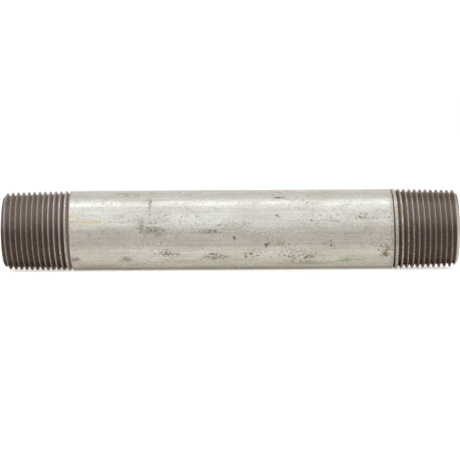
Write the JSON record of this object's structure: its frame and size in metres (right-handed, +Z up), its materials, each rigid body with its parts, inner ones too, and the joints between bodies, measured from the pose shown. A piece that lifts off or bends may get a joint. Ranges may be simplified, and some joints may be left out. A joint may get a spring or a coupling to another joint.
{
  "type": "threaded pipe nipple",
  "caption": "Straight galvanised steel pipe nipple with a taper thread on each end and a plain barrel between them.",
  "frame": {"origin": "middle of the pipe's axis, halfway between the two end faces", "axes": "+X along the pipe's axis to the right-hand end, +Y to the back, +Z up; the lowest point of the barrel is 13.455 mm below the origin"},
  "size_m": [0.1524, 0.027, 0.027],
  "materials": {
    "threaded_steel": "bare cut thread with an oil film",
    "outer_zinc": "hot-dip galvanised, satin",
    "bore_zinc": "hot-dip galvanised, dull"
  },
  "bodies": {
    "root": {"steel_pipe": "threaded_steel", "outer_zinc_coat": "outer_zinc", "bore_zinc_coat": "bore_zinc"}
  },
  "joints": []
}
